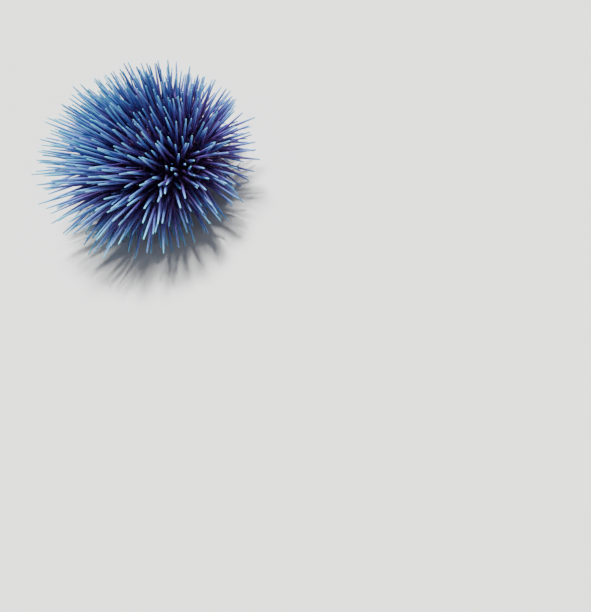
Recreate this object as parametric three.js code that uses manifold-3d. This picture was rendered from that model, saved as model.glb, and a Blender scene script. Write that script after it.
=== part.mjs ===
// A purple sea urchin, life size, resting on the tips of the spines under its test.
// Millimetres, +Z up. The mouth faces the floor, z = 0. The spines lean towards -X, the open side,
// where they are longest.
// The test is divided as a naturalist names it: five ambulacra, five interambulacra between them,
// the apical disc at the top, and the peristome round the teeth at the bottom.
import * as THREE from "three";
import { mergeVertices } from "three/addons/utils/BufferGeometryUtils.js";
import Module from "manifold-3d";

const wasm = await Module();
wasm.setup();

// The test: a dome over a flatter underside. The ambitus is its widest level.
const TEST_RADIUS = 27;
const TEST_RISE = 17;
const TEST_DROP = 11;
const AMBITUS_HEIGHT = 18;
const TEST_SEGMENTS = 40;
const TEST_LEVELS = 12;
const APEX = AMBITUS_HEIGHT + TEST_RISE;
const MOUTH = AMBITUS_HEIGHT - TEST_DROP;
const GAP = 0.3;

// How far a cutting block runs past what it cuts, and the block under the floor
const OVERRUN = 1;
const FLOOR_BLOCK = { side: 400, depth: 20 };
const MERGE_DISTANCE = 1e-4;

// The ten sectors, in degrees
const RAYS = 5;
const RAY_ANGLE = 360 / RAYS;
const FIRST_RAY = 90;
const AMBULACRUM_HALF_ANGLE = 13;

// Rows of spines, in degrees from the middle of their sector, with their share of the full length.
// Each row fills what room the rows before it leave.
const AMBULACRUM_ROWS = [
  { angle: -5.5, share: 0.95 },
  { angle: 5.5, share: 0.95 },
  { angle: 0, share: 0.8 },
];
const INTERAMBULACRUM_ROWS = [
  { angle: -12, share: 1 },
  { angle: 12, share: 1 },
  { angle: -4, share: 0.92 },
  { angle: 4, share: 0.92 },
  { angle: -19, share: 0.86 },
  { angle: 19, share: 0.86 },
  { angle: 0, share: 0.8 },
  { angle: -8, share: 0.8 },
  { angle: 8, share: 0.8 },
  { angle: -16, share: 0.8 },
  { angle: 16, share: 0.8 },
];

// The spines. Their full length goes by the tilt of the skin's outward normal from straight up.
const SPINE_LENGTHS = [
  { tilt: 0, length: 21 },
  { tilt: 30, length: 23 },
  { tilt: 65, length: 25.3 },
  { tilt: 105, length: 25.5 },
  { tilt: 135, length: 20.4 },
  { tilt: 155, length: 13 },
  { tilt: 180, length: 8 },
];
const SHORTEST_SHARE = 0.8;
const LONGEST_SHARE = 1.04;
const OPEN_SIDE = 180;
const OPEN_SIDE_GAIN = 0.15;
const LEAN = 0.2;
const SPINE_BASE_RADIUS = 1;
const SPINE_TIP_RADIUS = 0.42;
const SPINE_SIDES = 4;
const ROOT_DEPTH = 1.5;
const ROW_PITCH = 3.4;
const LEAST_SPACING = 2.9;
const ROOT_JITTER = 0.2;
const SLANT_JITTER = 0.11;
const EDGE_MARGIN = 0.2;
const HUB_MARGIN = 0.5;
const TIP_CUT = 0.3;
const MERIDIAN_STEPS = 3000;
const LARGEST_TILT = Math.PI - 0.01;
const SEED = 41;

// How the spines are bent clear of each other
const SPINE_CLEARANCE = 0.38;
const LEAST_CLEARANCE = 0.31;
const NEAR_PAIR = 7;
const BENDING_ROUNDS = 120;
const LARGEST_BEND = 0.5;
const LEAST_LEVER = 0.35;
const LEAST_SKEW = 1e-6;
const PATH_SAMPLES = 16;

// The plates and small spines at the apex
const APICAL_RADIUS = 4.2;
const APICAL_DEPTH = 3;
const APICAL_EDGE_DROP = 0.3;
const APICAL_SIDES = 16;
const PERIPROCT = { radius: 1.5, top: 0.9, shoulder: 0.5, height: 0.8 };
const GENITAL_PLATE = { radius: 1.1, ring: 2.6, height: 0.5 };
const OCULAR_PLATE = { radius: 0.55, ring: 3.5, height: 0.3 };
const PLATE_TAPER = 0.7;
const PLATE_SIDES = 6;
const APICAL_SPINE = { length: 9, base: 0.5, tip: 0.32, ring: 2.9, count: 10 };

// The membrane, the lip and the buccal tube feet round the mouth
const PERISTOME_RADIUS = 9;
const PERISTOME_THICKNESS = 3;
const PERISTOME_SIDES = 24;
const MEMBRANE_DIP = 0.4;
const LIP = { radius: 3.2, width: 1.4, inner: 0.2, low: -0.2, outer: 0.9 };
const BUCCAL_FOOT = { radius: 0.7, taper: 0.7, root: 1.8, length: 0.9, ring: 5.9, turn: 9, sides: 5 };

// The five teeth and the end of the lantern that holds them
const TOOTH_COUNT = 5;
const TOOTH = { root: 1.15, tip: 0.3, length: 3.6, ring: 1.2, slant: 0.2, sides: 4 };
const LANTERN_THICKNESS = 2;

const SPINE_PURPLE = { color: 0x453d8c, roughness: 0.5, metalness: 0 };
const DARK_SKIN = { color: 0x2a1030, roughness: 0.65, metalness: 0 };
const MEMBRANE = { color: 0x43202f, roughness: 0.6, metalness: 0 };
const TOOTH_WHITE = { color: 0xe6e0d0, roughness: 0.4, metalness: 0 };

const radians = THREE.MathUtils.degToRad;
const lerp = THREE.MathUtils.lerp;

// Numbers from 0 to 1 that are the same at each build
function seededDraws(seed) {
  let state = seed;
  return () => {
    state = (state + 0x6d2b79f5) | 0;
    let mixed = Math.imul(state ^ (state >>> 15), 1 | state);
    mixed = (mixed + Math.imul(mixed ^ (mixed >>> 7), 61 | mixed)) ^ mixed;
    return ((mixed ^ (mixed >>> 14)) >>> 0) / 4294967296;
  };
}

const draw = seededDraws(SEED);
const spread = (range) => (2 * draw() - 1) * range;

// Solids from geometries, and back

function solidOf(geometry) {
  const bare = geometry.clone();
  bare.deleteAttribute("normal");
  bare.deleteAttribute("uv");
  const merged = mergeVertices(bare, MERGE_DISTANCE);
  return new wasm.Manifold(
    new wasm.Mesh({
      numProp: 3,
      vertProperties: merged.attributes.position.array,
      triVerts: new Uint32Array(merged.index.array),
    }),
  );
}

function meshOf(name, solid, finish) {
  const { vertProperties, triVerts } = solid.getMesh();
  const geometry = new THREE.BufferGeometry();
  geometry.setAttribute("position", new THREE.BufferAttribute(vertProperties, 3));
  geometry.setIndex(new THREE.BufferAttribute(triVerts, 1));
  geometry.computeVertexNormals();
  const mesh = new THREE.Mesh(geometry, new THREE.MeshStandardMaterial(finish));
  mesh.name = name;
  return mesh;
}

// The largest closed surface of a solid
function largest(solid) {
  return solid.decompose().reduce((a, b) => (b.volume() > a.volume() ? b : a));
}

// A solid turned about Z. Its [radius, height] pairs run anticlockwise round the section.
function turned(profile, segments) {
  const points = profile.map(([r, z]) => new THREE.Vector2(r, z));
  const geometry = new THREE.LatheGeometry(points, segments);
  geometry.rotateX(Math.PI / 2);
  return solidOf(geometry);
}

function upright(radiusTop, radiusBottom, low, high, sides) {
  const geometry = new THREE.CylinderGeometry(radiusTop, radiusBottom, high - low, sides);
  geometry.rotateX(Math.PI / 2);
  geometry.translate(0, 0, (low + high) / 2);
  return geometry;
}

function disc(radius, low, high) {
  return solidOf(upright(radius, radius, low, high, TEST_SEGMENTS));
}

// The shape of the test

// [radius, height] of the skin where its outward normal stands at this tilt from straight up
function skinAt(tilt) {
  const depth = tilt < Math.PI / 2 ? TEST_RISE : TEST_DROP;
  const across = TEST_RADIUS * Math.sin(tilt);
  const along = depth * Math.cos(tilt);
  const n = Math.hypot(across, along);
  return [(TEST_RADIUS * across) / n, AMBITUS_HEIGHT + (depth * along) / n];
}

// How far a point lies outside the skin, to the first order
function heightOverSkin(point) {
  const rise = point.z - AMBITUS_HEIGHT;
  const depth = rise > 0 ? TEST_RISE : TEST_DROP;
  const r = Math.hypot(point.x, point.y);
  const k = Math.hypot(r / TEST_RADIUS, rise / depth);
  return ((k - 1) * k) / Math.hypot(r / TEST_RADIUS ** 2, rise / depth ** 2);
}

// Tilts at an even pitch along the meridian, from a start below the apex to the mouth
function tiltsAlongMeridian(start, pitch) {
  const tilts = [];
  let along = 0;
  let next = start;
  let [lastR, lastZ] = skinAt(0);
  for (let i = 1; i < MERIDIAN_STEPS; i++) {
    const tilt = (Math.PI * i) / MERIDIAN_STEPS;
    const [r, z] = skinAt(tilt);
    along += Math.hypot(r - lastR, z - lastZ);
    [lastR, lastZ] = [r, z];
    if (along >= next) {
      tilts.push(tilt);
      next += pitch;
    }
  }
  return tilts;
}

function sectorList() {
  const sectors = [];
  for (let ray = 0; ray < RAYS; ray++) {
    const middle = FIRST_RAY + ray * RAY_ANGLE;
    sectors.push({
      name: "ambulacrum_" + (ray + 1),
      middle: radians(middle),
      half: radians(AMBULACRUM_HALF_ANGLE),
      rows: AMBULACRUM_ROWS,
    });
    sectors.push({
      name: "interambulacrum_" + (ray + 1),
      middle: radians(middle + RAY_ANGLE / 2),
      half: radians(RAY_ANGLE / 2 - AMBULACRUM_HALF_ANGLE),
      rows: INTERAMBULACRUM_ROWS,
    });
  }
  return sectors;
}

// How far a point lies inside its sector's two cut planes
function depthInSector(sector, point) {
  const turn = Math.atan2(point.y, point.x) - sector.middle;
  const off = THREE.MathUtils.euclideanModulo(turn + Math.PI, 2 * Math.PI) - Math.PI;
  return Math.hypot(point.x, point.y) * Math.sin(sector.half - Math.abs(off)) - GAP / 2;
}

// The whole test, less the room for the apical disc and the peristome
function testWall() {
  const profile = [];
  for (let i = 0; i <= TEST_LEVELS; i++) {
    profile.push(skinAt(Math.PI * (1 - i / TEST_LEVELS)));
  }
  profile[0][0] = 0;
  profile[TEST_LEVELS][0] = 0;
  return turned(profile, TEST_SEGMENTS)
    .subtract(disc(APICAL_RADIUS + GAP, APEX - APICAL_DEPTH - GAP, APEX + OVERRUN))
    .subtract(disc(PERISTOME_RADIUS + GAP, MOUTH - OVERRUN, MOUTH + PERISTOME_THICKNESS + GAP));
}

// A tall wedge that keeps a sector's share of the test, less half the gap on both sides
function sectorWedge(sector) {
  const back = GAP / 2 / Math.sin(sector.half);
  const reach = 2 * TEST_RADIUS;
  const shape = new THREE.Shape();
  shape.moveTo(back, 0);
  shape.lineTo(back + reach * Math.cos(sector.half), -reach * Math.sin(sector.half));
  shape.lineTo(back + reach * Math.cos(sector.half), reach * Math.sin(sector.half));
  const geometry = new THREE.ExtrudeGeometry(shape, { depth: APEX + OVERRUN, bevelEnabled: false });
  geometry.rotateZ(sector.middle);
  return solidOf(geometry);
}

// The layout of the spines

// The full length of a spine where the skin's normal has this tilt and azimuth
function fullLength(tilt, azimuth) {
  const after = SPINE_LENGTHS.findIndex((entry) => radians(entry.tilt) > tilt);
  const low = SPINE_LENGTHS[after - 1];
  const high = SPINE_LENGTHS[after];
  const share = (tilt - radians(low.tilt)) / radians(high.tilt - low.tilt);
  const towardsOpen = Math.sin(tilt) * Math.cos(azimuth - radians(OPEN_SIDE));
  return lerp(low.length, high.length, share) * (1 + OPEN_SIDE_GAIN * towardsOpen);
}

function pointAlong(spine, share) {
  return spine.foot.clone().addScaledVector(spine.axis, share * spine.length);
}

function radiusAlong(spine, share) {
  return lerp(spine.base, spine.tip, share);
}

// Lifts a spine that would pass through the floor, until the floor cuts no more than its tip
function restOnFloor(spine) {
  const lowest = -(spine.foot.z + TIP_CUT) / spine.length;
  if (spine.axis.z >= lowest) return;
  const level = Math.hypot(spine.axis.x, spine.axis.y);
  const widen = Math.sqrt(1 - lowest ** 2) / level;
  spine.axis.set(spine.axis.x * widen, spine.axis.y * widen, lowest);
}

// A spine with its foot under the skin at a tilt and an azimuth
function spineAt(node, tilt, azimuth, size) {
  const [r, z] = skinAt(tilt);
  const out = new THREE.Vector3(Math.cos(azimuth), Math.sin(azimuth), 0);
  const up = new THREE.Vector3(0, 0, 1);
  const point = out.clone().multiplyScalar(r).addScaledVector(up, z);
  const normal = out.multiplyScalar(Math.sin(tilt)).addScaledVector(up, Math.cos(tilt));
  const slant = new THREE.Vector3(spread(SLANT_JITTER), spread(SLANT_JITTER), spread(SLANT_JITTER));
  const lean = new THREE.Vector3(LEAN * Math.cos(radians(OPEN_SIDE)), LEAN * Math.sin(radians(OPEN_SIDE)), 0);
  const spine = {
    ...size,
    node,
    point,
    foot: point.clone().addScaledVector(normal, -ROOT_DEPTH),
    axis: normal.add(slant).add(lean).normalize(),
    length: size.length + ROOT_DEPTH,
  };
  restOnFloor(spine);
  return spine;
}

// Whether a spine's root is well inside its own sector's wall
function rootFits(sector, spine) {
  const places = [spine.foot, spine.point, pointAlong(spine, ROOT_DEPTH / spine.length)];
  const margin = spine.base + EDGE_MARGIN;
  const hub = (spine.point.z > AMBITUS_HEIGHT ? APICAL_RADIUS : PERISTOME_RADIUS) + GAP;
  return places.every(
    (p) => depthInSector(sector, p) > margin && Math.hypot(p.x, p.y) > hub + margin + HUB_MARGIN,
  );
}

function sectorSpines(sector, placed) {
  sector.rows.forEach((row, i) => {
    const start = ((1 + (i % 2)) * ROW_PITCH) / 2;
    for (const even of tiltsAlongMeridian(start + spread(ROOT_JITTER), ROW_PITCH)) {
      const [r] = skinAt(even);
      const tilt = Math.min(even + spread(ROOT_JITTER) / TEST_RADIUS, LARGEST_TILT);
      const azimuth = sector.middle + radians(row.angle) + spread(ROOT_JITTER) / r;
      const share = row.share * lerp(SHORTEST_SHARE, LONGEST_SHARE, Math.sqrt(draw()));
      const size = {
        length: fullLength(tilt, azimuth) * share,
        base: SPINE_BASE_RADIUS * Math.sqrt(row.share),
        tip: SPINE_TIP_RADIUS,
      };
      const spine = spineAt(sector.name, tilt, azimuth, size);
      const crowded = placed.some((other) => other.point.distanceTo(spine.point) < LEAST_SPACING);
      if (!crowded && rootFits(sector, spine)) placed.push(spine);
    }
  });
}

function apicalSpines(placed) {
  const size = { length: APICAL_SPINE.length, base: APICAL_SPINE.base, tip: APICAL_SPINE.tip };
  const slope = Math.tan(Math.asin(APICAL_SPINE.ring / TEST_RADIUS));
  const tilt = Math.atan((TEST_RISE / TEST_RADIUS) * slope);
  for (let i = 0; i < APICAL_SPINE.count; i++) {
    const azimuth = radians(FIRST_RAY + ((i + 0.5) * 360) / APICAL_SPINE.count);
    placed.push(spineAt("apical_disc", tilt, azimuth, size));
  }
}

// Where two spines come closest: the share of each one's length, and the step between them
function closest(a, b) {
  const between = a.foot.clone().sub(b.foot);
  const turn = a.axis.dot(b.axis);
  const onA = a.axis.dot(between);
  const onB = b.axis.dot(between);
  const skew = Math.max(1 - turn * turn, LEAST_SKEW);
  const clamp = (value, length) => Math.min(Math.max(value, 0), length);
  let s = clamp((turn * onB - onA) / skew, a.length);
  const t = clamp(turn * s + onB, b.length);
  s = clamp(turn * t - onA, a.length);
  const shareA = s / a.length;
  const shareB = t / b.length;
  const step = pointAlong(a, shareA).sub(pointAlong(b, shareB));
  const clearance = step.length() - radiusAlong(a, shareA) - radiusAlong(b, shareB);
  return { shareA, shareB, step, clearance };
}

// Turns a spine about its foot by a push at a share of its length
function pushTip(spine, share, push) {
  const tip = pointAlong(spine, 1).addScaledVector(push, 1 / Math.max(share, LEAST_LEVER));
  spine.axis.copy(tip.sub(spine.foot).normalize());
  restOnFloor(spine);
}

// Turns the spines a little at a time until each is clear of its neighbours
function bendClear(spines) {
  const pairs = [];
  spines.forEach((a, i) => {
    for (const b of spines.slice(i + 1)) {
      if (closest(a, b).clearance < NEAR_PAIR) pairs.push([a, b]);
    }
  });
  for (let round = 0; round < BENDING_ROUNDS; round++) {
    for (const [a, b] of pairs) {
      const { shareA, shareB, step, clearance } = closest(a, b);
      if (clearance >= SPINE_CLEARANCE) continue;
      const bend = Math.min((SPINE_CLEARANCE - clearance) / 2, LARGEST_BEND);
      step.setLength(bend);
      pushTip(a, shareA, step);
      pushTip(b, shareB, step.negate());
    }
  }
}

// Leaves out what bending couldn't clear: the shorter of two that touch
function dropCrossed(spines) {
  const kept = [];
  for (const spine of [...spines].sort((a, b) => b.length - a.length)) {
    if (kept.every((other) => closest(spine, other).clearance > LEAST_CLEARANCE)) kept.push(spine);
  }
  return kept;
}

// Whether a spine stays off the skin of the sectors beside its own and off the apical disc
function clearsNeighbours(sector, spine) {
  for (let i = 1; i <= PATH_SAMPLES; i++) {
    const share = i / PATH_SAMPLES;
    const point = pointAlong(spine, share);
    const room = radiusAlong(spine, share) + GAP;
    const own = depthInSector(sector, point) > room;
    if (!own && heightOverSkin(point) < room) return false;
    const overDisc = point.z > AMBITUS_HEIGHT && Math.hypot(point.x, point.y) < APICAL_RADIUS + room;
    if (overDisc && point.z < APEX + PERIPROCT.height + room) return false;
  }
  return true;
}

function spineSolid(spine) {
  const geometry = new THREE.CylinderGeometry(spine.tip, spine.base, spine.length, SPINE_SIDES);
  geometry.rotateY(draw() * 2 * Math.PI);
  geometry.translate(0, spine.length / 2, 0);
  geometry.applyQuaternion(
    new THREE.Quaternion().setFromUnitVectors(new THREE.Vector3(0, 1, 0), spine.axis),
  );
  geometry.translate(...spine.foot.toArray());
  return solidOf(geometry);
}

// The pieces

function floorBlock() {
  const geometry = new THREE.BoxGeometry(FLOOR_BLOCK.side, FLOOR_BLOCK.side, FLOOR_BLOCK.depth);
  geometry.translate(0, 0, -FLOOR_BLOCK.depth / 2);
  return solidOf(geometry);
}

// A node's body joined with its spines in one union, and cut where it meets the floor
function withSpines(body, spines) {
  const union = wasm.Manifold.union([body, ...spines.map(spineSolid)]);
  return largest(union.subtract(floorBlock()));
}

// A low plate on a ring round the apex
function plate(shape, azimuth) {
  const top = shape.radius * PLATE_TAPER;
  const geometry = upright(top, shape.radius, APEX - OVERRUN, APEX + shape.height, PLATE_SIDES);
  geometry.translate(shape.ring, 0, 0);
  geometry.rotateZ(azimuth);
  return solidOf(geometry);
}

function apicalDisc() {
  const base = turned(
    [
      [0, APEX - APICAL_DEPTH],
      [APICAL_RADIUS, APEX - APICAL_DEPTH],
      [APICAL_RADIUS, APEX - APICAL_EDGE_DROP],
      [PERIPROCT.radius, APEX],
      [PERIPROCT.top, APEX + PERIPROCT.shoulder],
      [0, APEX + PERIPROCT.height],
    ],
    APICAL_SIDES,
  );
  const plates = [];
  for (let i = 0; i < RAYS; i++) {
    const ray = radians(FIRST_RAY + i * RAY_ANGLE);
    plates.push(plate(OCULAR_PLATE, ray));
    plates.push(plate(GENITAL_PLATE, ray + radians(RAY_ANGLE / 2)));
  }
  return wasm.Manifold.union([base, ...plates]);
}

function peristome() {
  const top = MOUTH + PERISTOME_THICKNESS;
  const ring = turned(
    [
      [LIP.radius, top],
      [LIP.radius, MOUTH + LIP.inner],
      [LIP.radius + LIP.width / 2, MOUTH + LIP.low],
      [LIP.radius + LIP.width, MOUTH + LIP.outer],
      [PERISTOME_RADIUS, MOUTH + MEMBRANE_DIP],
      [PERISTOME_RADIUS, top],
      [LIP.radius, top],
    ],
    PERISTOME_SIDES,
  );
  const feet = [];
  for (let i = 0; i < RAYS; i++) {
    for (const side of [-1, 1]) {
      const { radius, taper, root, length, sides } = BUCCAL_FOOT;
      const geometry = upright(radius, radius * taper, MOUTH - length, MOUTH + root, sides);
      geometry.translate(BUCCAL_FOOT.ring, 0, 0);
      geometry.rotateZ(radians(FIRST_RAY + i * RAY_ANGLE + side * BUCCAL_FOOT.turn));
      feet.push(solidOf(geometry));
    }
  }
  return largest(wasm.Manifold.union([ring, ...feet]));
}

function teeth() {
  const top = MOUTH + PERISTOME_THICKNESS;
  const pieces = [disc(LIP.radius - GAP, top - LANTERN_THICKNESS, top)];
  for (let i = 0; i < TOOTH_COUNT; i++) {
    const geometry = new THREE.CylinderGeometry(TOOTH.root, TOOTH.tip, TOOTH.length, TOOTH.sides);
    geometry.rotateX(Math.PI / 2);
    geometry.rotateY(TOOTH.slant);
    geometry.translate(TOOTH.ring, 0, top - LANTERN_THICKNESS / 2 - TOOTH.length / 2);
    geometry.rotateZ(radians(FIRST_RAY + (i + 0.5) * RAY_ANGLE));
    pieces.push(solidOf(geometry));
  }
  return largest(wasm.Manifold.union(pieces));
}

// The assembly

const sectors = sectorList();
const layout = [];
for (const sector of sectors) sectorSpines(sector, layout);
apicalSpines(layout);
bendClear(layout);
const spines = dropCrossed(layout);

const animal = new THREE.Group();
const wall = testWall();
for (const sector of sectors) {
  const body = wall.intersect(sectorWedge(sector));
  const own = spines.filter((s) => s.node === sector.name && clearsNeighbours(sector, s));
  animal.add(meshOf(sector.name, withSpines(body, own), SPINE_PURPLE));
}
const apical = spines.filter((s) => s.node === "apical_disc");
animal.add(meshOf("apical_disc", withSpines(apicalDisc(), apical), DARK_SKIN));
animal.add(meshOf("peristome", peristome(), MEMBRANE));
animal.add(meshOf("teeth", teeth(), TOOTH_WHITE));

// The origin is under the centre of the whole, tips included
const centre = new THREE.Box3().setFromObject(animal).getCenter(new THREE.Vector3());
animal.position.set(-centre.x, -centre.y, 0);
const group = new THREE.Group();
group.add(animal);

export default group;
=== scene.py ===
"""A purple sea urchin as a museum shows one, life size, on a plain pale floor.

Lengths are in millimetres until a mesh, a light or the camera is made. The animal stands on the
frame's floor with its axis along +Z, the apex up, and ambulacrum_1 towards +Y.
"""

import math

import bpy
import numpy as np
from mathutils import Matrix, Vector


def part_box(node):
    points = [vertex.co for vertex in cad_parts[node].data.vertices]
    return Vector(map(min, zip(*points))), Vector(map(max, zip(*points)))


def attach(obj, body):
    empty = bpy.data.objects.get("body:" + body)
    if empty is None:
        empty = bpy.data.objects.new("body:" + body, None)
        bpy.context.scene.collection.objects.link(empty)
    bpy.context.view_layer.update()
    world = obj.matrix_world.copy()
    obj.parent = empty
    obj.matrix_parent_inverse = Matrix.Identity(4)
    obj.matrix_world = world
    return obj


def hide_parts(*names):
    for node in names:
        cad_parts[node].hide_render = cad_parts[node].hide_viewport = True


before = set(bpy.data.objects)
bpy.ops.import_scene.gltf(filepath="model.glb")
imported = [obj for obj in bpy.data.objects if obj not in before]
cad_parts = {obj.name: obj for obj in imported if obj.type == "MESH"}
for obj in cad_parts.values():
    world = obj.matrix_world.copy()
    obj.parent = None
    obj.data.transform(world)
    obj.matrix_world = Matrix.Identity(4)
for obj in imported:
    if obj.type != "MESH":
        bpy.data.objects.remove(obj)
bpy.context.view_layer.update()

MM = 0.001
SEED = 7

# The least that anything is divided by
LEAST_DIVISOR = 1e-6

# The animal's axis, from the ring of the peristome
ring_low, ring_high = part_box("peristome")
AXIS = np.array([(ring_low.x + ring_high.x) / 2, (ring_low.y + ring_high.y) / 2, 0.0]) / MM

# The test: a dome over a flatter underside. The ambitus is its widest level.
TEST_RADIUS = 27.0
TEST_RISE = 17.0
TEST_DROP = 11.0
AMBITUS_HEIGHT = 18.0
MOUTH = AMBITUS_HEIGHT - TEST_DROP
APICAL_RADIUS = 4.2
PERISTOME_RADIUS = 9.0

# The ten sectors, in degrees
RAYS = 5
RAY_ANGLE = 360 / RAYS
FIRST_RAY = 90
AMBULACRUM_HALF_ANGLE = 13

# The camera, for a picture of 591 by 612 pixels
PICTURE = (591, 612)
TEST_MIDDLE_PIXEL = (154.3, 156.0)
TEST_MIDDLE_HEIGHT = AMBITUS_HEIGHT + 2
FOCAL_PIXELS = 713
MM_PER_PIXEL = 0.45
AXIS_FROM_SIGHT = 50.8
AXIS_IN_PICTURE = 117
SENSOR = 36

# Lights come from steps right, up and towards the camera. Softness is in degrees.
KEY_DIRECTION = (-0.15, 0.58, 0.3)
KEY_STRENGTH = 11.5
KEY_SOFTNESS = 13
FILL_DIRECTION = (0.6, -0.1, 0.5)
FILL_STRENGTH = 0.4
FILL_SOFTNESS = 60
WORLD_STRENGTH = 0.24
WORLD_COLOUR = (0.84, 0.84, 0.85, 1)

# The floor, in metres
FLOOR_SIDE = 60
FLOOR_COLOURS = ((0.66, 0.66, 0.64, 1), (0.70, 0.70, 0.68, 1))

# Finding the solids' spines: how far out of the skin their tips are looked for, and twice the area,
# in square millimetres, of the smallest triangle that tells the slope of a side
CLEAR_OF_SKIN = 2.2
LEAST_TRIANGLE = 0.05

# Long spines stand where the solids' spines do. Their radius is this many times the distance from
# the axis of the solid's spine to its sides.
ROUND_FOR_SQUARE = 0.98

# The kinds of spines. share is of the full length, and jitter is how far a spine leans its own way.
# depth is the flutes', rings are the shaft's, pale is how far up the spines' ramp of colours a tip
# gets, and patch is the size of each spine's place on the bake map. A pale below 1 keeps the tips of
# short, apical and miliary spines dark, as painted shade down among the long spines.
FLUTE_DEPTH = 0.06
LONG = {"flutes": 14, "depth": FLUTE_DEPTH, "rings": 11, "pale": 1.0, "patch": (0.05, 0.028)}
SLENDER = {
    "spacing": 1.9, "tries": 9000, "share": (0.66, 0.97), "base": 0.57, "tip": 0.27, "jitter": 0.23,
    "flutes": 12, "depth": FLUTE_DEPTH, "rings": 9, "pale": 1.0, "patch": (0.04, 0.024),
}
SHORT = {
    "spacing": 1.6, "tries": 12000, "share": (0.18, 0.4), "base": 0.45, "tip": 0.2, "jitter": 0.2,
    "flutes": 8, "depth": FLUTE_DEPTH, "rings": 6, "pale": 0.72, "patch": (0.03, 0.018),
}
MILIARY = {
    "spacing": 0.95, "from_long": 1.25, "from_short": 0.85, "tries": 14000, "length": (1.6, 4.2),
    "base": 0.2, "tip": 0.1, "jitter": 0.3, "flutes": 3, "depth": 0, "rings": 3, "pale": 0.4,
    "patch": (0.003, 0.003),
}
APICAL = {"flutes": 6, "depth": FLUTE_DEPTH, "rings": 6, "pale": 0.72, "patch": (0.004, 0.004)}
SPINE_KINDS = [("spines_", LONG), ("slender_spines_", SLENDER), ("small_spines_", SHORT)]

# A spine's full length goes by the tilt of the skin, and is longer by a share on the open side,
# towards which all of them lean
LENGTH_TILTS = [0, 30, 65, 105, 135, 155, 180]
LENGTHS = [21, 23, 25.3, 25.5, 20.4, 13, 8]
OPEN_SIDE = 180
SIDE_GAIN = 0.15
LEAN = 0.2
BASE_SPREAD = (0.85, 1.12)

# The share of its length that a spine may fall
STEEPEST = 0.995

# Bare skin beside the apical disc and beside the peristome
BARE_ABOVE = 0.4
BARE_BELOW = 0.5

# Turning spines clear of each other: the room left between two, how far apart roots may stand for
# their spines to meet, how much of the radius is gone at the tip, and the largest step of one round.
# Nearer its root than the last share a spine is pushed as if it were pushed there.
CLEARANCE = 0.12
NEIGHBOUR_REACH = 14
TAPER_FOR_ROOM = 0.6
LARGEST_PUSH = 0.8
LEAST_LEVER = 0.35
BENDING_ROUNDS = 70

# The form of a spine: a milled collar over its foot in the skin, then a shaft that tapers to a
# blunt tip. The collar's height is in radii of the base, its rings in shares of that height, and it
# starts at a share of the root's depth. The shaft's ends are in shares of the length.
ROOT_DEPTH = 0.8
COLLAR_SHARES = np.array([0, 0.012, 0.03, 0.05, 0.07])
COLLAR_RADII = np.array([0.86, 1.16, 1.2, 1.04, 0.96])
COLLAR_HEIGHT = 18
COLLAR_START = 0.8
SHAFT_FROM = 0.12
SHAFT_TO = 0.985
TAPER_POWER = 2.1
TIP_SHARE = 0.86
BLUNTNESS = 0.55

# Spines are bluer and paler on one side, as painted light, darker and more violet away from it, as
# painted shade, and more violet low down
PAINTED_LIGHT_SIDE = 148
CHANCE_TONE = 0.5
LOW_VIOLET = 0.14
LOW_TILT = 60

# The bake map: the radius of a round one, the half width, lower edge and height of a sector's,
# and how much of its cell each patch fills in a grid of them
MAP_RADIUS = 0.48
MAP_HALF_WIDTH = 0.46
MAP_EDGE = 0.02
MAP_HEIGHT = 0.96
PATCH_FILL = 0.8

# The skin's mesh, the bosses under the spines, and how far up its ramp of colours bare skin stands
SKIN_ROWS = 230
SKIN_COLUMNS = 330
SKIN_FROM = 0.02
TALL_BOSS = {"radius": 1.55, "height": 0.6}
LOW_BOSS = {"radius": 0.85, "height": 0.35}
BARE_SKIN = 0.35

# The plates round the apex, and the pore in each
PERIPROCT = {"radius": 1.5, "height": 0.35}
GENITAL_PLATE = {"turn": RAY_ANGLE / 2, "ring": 2.7, "radius": 1.25, "height": 0.5}
OCULAR_PLATE = {"turn": 0, "ring": 3.7, "radius": 0.7, "height": 0.3}
PLATE_CROWN = 1.4
PLATE_PORE = {"out": 0.45, "radius": 0.22, "depth": 0.35}

# The pores of the tube feet, in two rows on each side of a ray, and the grooves between plates
PORE_ANGLES = (9.5, 12.0)
PORE_STEP = 1.25
PORE_MIDDLE = 0.62
PORE_RADIUS = 0.3
PORE_DEPTH = 0.22
PORES_FROM = 2
GROOVE_WIDTH = 0.16
GROOVE_DEPTH = 0.12

# The mouth: its membrane, its lip and the five teeth
MEMBRANE = {"edge": PERISTOME_RADIUS + 0.25, "height": 0.4, "slope": 0.35, "rings": 50, "columns": 280}
RINGS = {"step": 0.8, "height": 0.09}
FOLDS = {"count": 24, "height": 0.1}
SCALES = {"count": 61, "step": 0.5, "height": 0.05}
LIP = {"radius": 3.9, "width": 0.7, "height": 0.6, "depth": 0.75, "overlap": 0.3, "rings": 20}
MOUTH_DEPTH = 3
TOOTH = {"ring": 1.65, "reach": 1.25, "curve": 1.6, "height": 2.6, "length": 3.4, "rings": 14}
TOOTH_SHARES = [0, 0.5, 0.85, 1]
TOOTH_RADII = [0.95, 0.8, 0.5, 0.12]
TOOTH_SIDES = 24
TOOTH_RIDGES = 3
TOOTH_RIDGE_DEPTH = 0.16

# The end of the lantern, as radii and heights above the mouth
LANTERN_END = [(0.05, 1.9), (1.6, 1.7), (3.0, 1.5), (3.1, MOUTH_DEPTH), (0.05, MOUTH_DEPTH)]
LANTERN_COLUMNS = 60

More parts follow.
